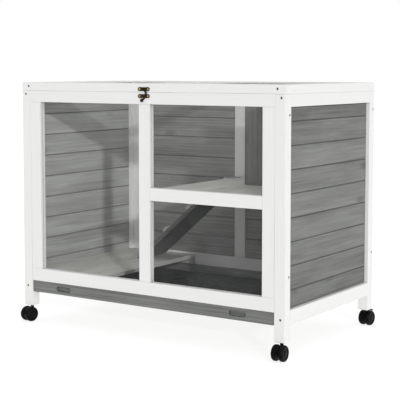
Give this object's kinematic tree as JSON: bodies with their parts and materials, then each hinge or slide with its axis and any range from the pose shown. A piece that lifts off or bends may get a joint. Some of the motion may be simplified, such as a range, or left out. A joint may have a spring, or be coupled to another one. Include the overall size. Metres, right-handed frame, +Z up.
{
  "type": "rabbit hutch",
  "caption": "Indoor rabbit hutch on castors: boarded wooden body, clear front panes, mesh lid, ramp to an upper deck and a pull-out tray.",
  "frame": {"origin": "on the ground under the middle of the body", "axes": "+X to the right seen from the front, +Y to the back, +Z up; the front faces -Y"},
  "size_m": [0.9262, 0.5772, 0.732],
  "materials": {
    "white_wood": "satin white paint over wood grain",
    "grey_wood": "grey stained softwood",
    "pale_wood": "light grey stained softwood",
    "clear_pane": "clear acrylic",
    "black_pan": "fine textured plastic",
    "mesh_wire": "galvanised wire",
    "latch_metal": "antique bronze",
    "screw_metal": "yellow zinc",
    "hinge_metal": "zinc plated",
    "castor_housing": "moulded nylon",
    "castor_wheel": "moulded nylon tread"
  },
  "bodies": {
    "hutch": {"post_front_left": "white_wood", "post_front_right": "white_wood", "post_rear_left": "white_wood", "post_rear_right": "white_wood", "front_top_rail": "white_wood", "front_bottom_rail": "white_wood", "front_mid_rail": "white_wood", "front_left_stile": "white_wood", "front_mid_stile": "white_wood", "front_right_stile": "white_wood", "window_left": "clear_pane", "window_upper": "clear_pane", "window_lower": "clear_pane", "rear_top_rail": "white_wood", "rear_bottom_rail": "white_wood", "rear_stiles": "white_wood", "rear_boards": "grey_wood", "side_top_rails": "white_wood", "side_bottom_rails": "white_wood", "left_boards": "grey_wood", "right_boards": "grey_wood", "frame_hinge_leaves": "hinge_metal", "lid_hinge_pins": "hinge_metal", "latch_keeper": "latch_metal", "frame_screws": "screw_metal", "tray_runners": "white_wood", "lower_floor": "pale_wood", "upper_deck": "pale_wood", "shelf_bearers": "pale_wood", "nook_board": "grey_wood", "deck_hinge_leaf": "hinge_metal"},
    "lid": {"lid_front_rail": "white_wood", "lid_rear_rail": "white_wood", "lid_side_rails": "white_wood", "lid_mid_bar": "white_wood", "lid_mesh_left": "mesh_wire", "lid_mesh_right": "mesh_wire", "lid_hinge_leaves": "hinge_metal", "latch_plate": "latch_metal", "lid_screws": "screw_metal"},
    "hook": {"latch_hook": "latch_metal"},
    "tray": {"tray_front": "grey_wood", "tray_frame": "grey_wood", "tray_base": "pale_wood", "tray_liner_left": "black_pan", "tray_liner_right": "black_pan"},
    "ramp": {"ramp_board": "grey_wood", "ramp_cleats": "pale_wood", "ramp_hinge_leaf": "hinge_metal"},
    "castor_fl": {"castor_housing_fl": "castor_housing"},
    "wheels_fl": {"castor_wheels_fl": "castor_wheel"},
    "castor_fr": {"castor_housing_fr": "castor_housing"},
    "wheels_fr": {"castor_wheels_fr": "castor_wheel"},
    "castor_rl": {"castor_housing_rl": "castor_housing"},
    "wheels_rl": {"castor_wheels_rl": "castor_wheel"},
    "castor_rr": {"castor_housing_rr": "castor_housing"},
    "wheels_rr": {"castor_wheels_rr": "castor_wheel"},
    "brake_rl": {"brake_lever_rl": "castor_housing"},
    "brake_rr": {"brake_lever_rr": "castor_housing"}
  },
  "joints": [
    {"name": "lid_hinge", "type": "hinge", "parent": "hutch", "child": "lid", "pos_m": [0, 0.2698, 0.707], "axis": [-1, 0, 0], "range_deg": [0, 100]},
    {"name": "hook_pivot", "type": "hinge", "parent": "lid", "child": "hook", "pos_m": [-0.0035, -0.269, 0.7155], "axis": [0, -1, 0], "range_deg": [0, 100]},
    {"name": "tray_slide", "type": "slide", "parent": "hutch", "child": "tray", "axis": [0, -1, 0], "range_m": [0, 0.45]},
    {"name": "ramp_hinge", "type": "hinge", "parent": "hutch", "child": "ramp", "pos_m": [0.0311, 0.138, 0.43575], "axis": [0, 1, 0], "range_deg": [0, 41]},
    {"name": "castor_fl_swivel", "type": "hinge", "parent": "hutch", "child": "castor_fl", "pos_m": [-0.4415, -0.2515, 0.06], "axis": [0, 0, 1], "continuous": true},
    {"name": "wheels_fl_spin", "type": "hinge", "parent": "castor_fl", "child": "wheels_fl", "pos_m": [-0.44338, -0.26335, 0.02225], "axis": [0.9877, -0.1564, 0], "continuous": true},
    {"name": "castor_fr_swivel", "type": "hinge", "parent": "hutch", "child": "castor_fr", "pos_m": [0.4415, -0.2515, 0.06], "axis": [0, 0, 1], "continuous": true},
    {"name": "wheels_fr_spin", "type": "hinge", "parent": "castor_fr", "child": "wheels_fr", "pos_m": [0.44213, -0.26348, 0.02225], "axis": [0.9986, 0.0523, 0], "continuous": true},
    {"name": "castor_rl_swivel", "type": "hinge", "parent": "hutch", "child": "castor_rl", "pos_m": [-0.4415, 0.2515, 0.06], "axis": [0, 0, 1], "continuous": true},
    {"name": "wheels_rl_spin", "type": "hinge", "parent": "castor_rl", "child": "wheels_rl", "pos_m": [-0.44317, 0.26338, 0.02225], "axis": [-0.9903, -0.1392, 0], "continuous": true},
    {"name": "castor_rr_swivel", "type": "hinge", "parent": "hutch", "child": "castor_rr", "pos_m": [0.4415, 0.2515, 0.06], "axis": [0, 0, 1], "continuous": true},
    {"name": "wheels_rr_spin", "type": "hinge", "parent": "castor_rr", "child": "wheels_rr", "pos_m": [0.44255, 0.26345, 0.02225], "axis": [-0.9962, 0.0872, 0], "continuous": true},
    {"name": "brake_rl_pivot", "type": "hinge", "parent": "castor_rl", "child": "brake_rl", "pos_m": [-0.44428, 0.27131, 0.03775], "axis": [-0.9903, -0.1392, 0], "range_deg": [0, 12]},
    {"name": "brake_rr_pivot", "type": "hinge", "parent": "castor_rr", "child": "brake_rr", "pos_m": [0.44324, 0.27142, 0.03775], "axis": [-0.9962, 0.0872, 0], "range_deg": [0, 12]}
  ]
}
